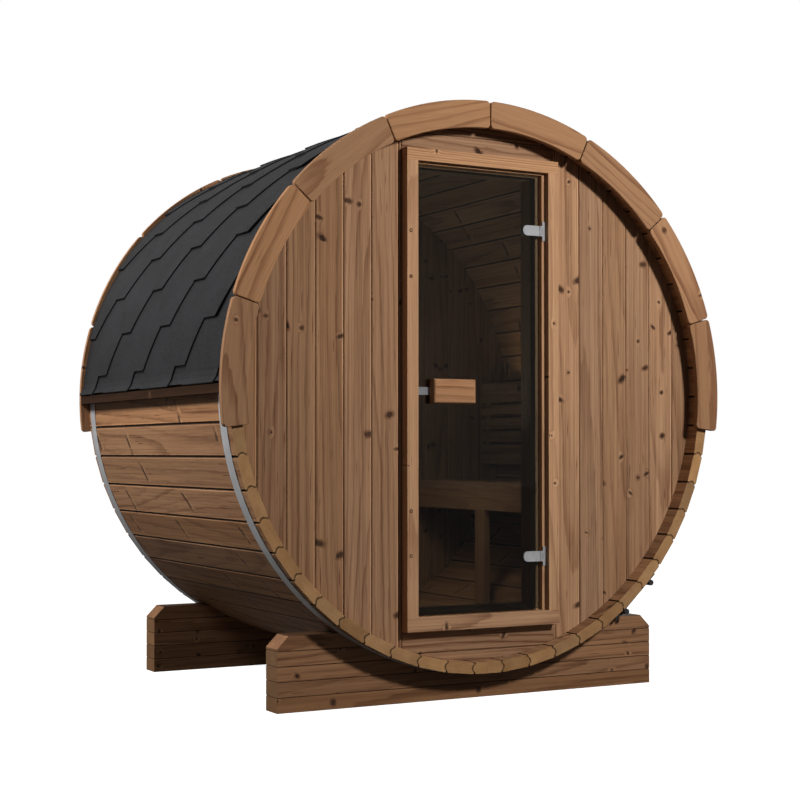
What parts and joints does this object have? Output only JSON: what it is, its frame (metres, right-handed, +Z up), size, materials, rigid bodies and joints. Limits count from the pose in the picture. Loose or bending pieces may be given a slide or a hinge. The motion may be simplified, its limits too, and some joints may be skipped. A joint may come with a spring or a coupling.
{
  "type": "barrel sauna",
  "caption": "Barrel sauna: a lying barrel of pine staves on two timber cradles, shingled on top, with steel hoops, a bench inside and a smoked glass door that swings out.",
  "frame": {"origin": "on the ground, under the middle of the barrel", "axes": "+X to the right seen from the door side, +Y along the barrel away from the door, +Z up"},
  "size_m": [2.142, 1.5, 2.1719],
  "materials": {
    "stave_wood": "planed pine staves",
    "trim_wood": "planed pine ring boards",
    "cradle_wood": "laminated pine",
    "wall_wood": "planed pine boards",
    "frame_wood": "planed pine",
    "door_glass": "bronze tinted, polished",
    "bright_steel": "bright satin",
    "handle_wood": "sanded hardwood",
    "bench_wood": "planed softwood",
    "hoop_steel": "rolled band, dull",
    "black_steel": "black",
    "shingles": "black bitumen felt with mineral grit",
    "eave_wood": "dark brown stained"
  },
  "bodies": {
    "barrel": {"back_cradle": "cradle_wood", "back_hoop": "hoop_steel", "back_hoop_tightener": "black_steel", "back_trim_left": "trim_wood", "back_trim_right": "trim_wood", "back_wall": "wall_wood", "backrest_slats": "bench_wood", "backrest_uprights": "bench_wood", "bench_bearers": "bench_wood", "bench_fascia": "bench_wood", "bench_post": "bench_wood", "bench_seat": "bench_wood", "door_head": "frame_wood", "door_jamb_left": "frame_wood", "door_jamb_right": "frame_wood", "door_sill": "frame_wood", "eave_batten_left": "eave_wood", "eave_batten_right": "eave_wood", "front_cradle": "cradle_wood", "front_hoop": "hoop_steel", "front_hoop_tightener": "black_steel", "front_trim_left": "trim_wood", "front_trim_right": "trim_wood", "front_wall_above_door": "wall_wood", "front_wall_below_door": "wall_wood", "front_wall_left": "wall_wood", "front_wall_right": "wall_wood", "lower_hinge_plate": "bright_steel", "roof_shingles_left": "shingles", "roof_shingles_right": "shingles", "staves_bottom": "stave_wood", "staves_left_high": "stave_wood", "staves_left_low": "stave_wood", "staves_left_middle": "stave_wood", "staves_right_high": "stave_wood", "staves_right_low": "stave_wood", "staves_right_middle": "stave_wood", "staves_top": "stave_wood", "upper_hinge_plate": "bright_steel"},
    "door": {"door_glass": "door_glass", "handle_inside": "handle_wood", "handle_outside": "handle_wood", "latch_plate": "bright_steel", "lower_hinge_clamp": "bright_steel", "upper_hinge_clamp": "bright_steel"}
  },
  "joints": [
    {"name": "door_swing", "type": "hinge", "parent": "barrel", "child": "door", "pos_m": [0.256, -0.691, 1.117], "axis": [0, 0, 1], "range_deg": [0, 100]}
  ]
}
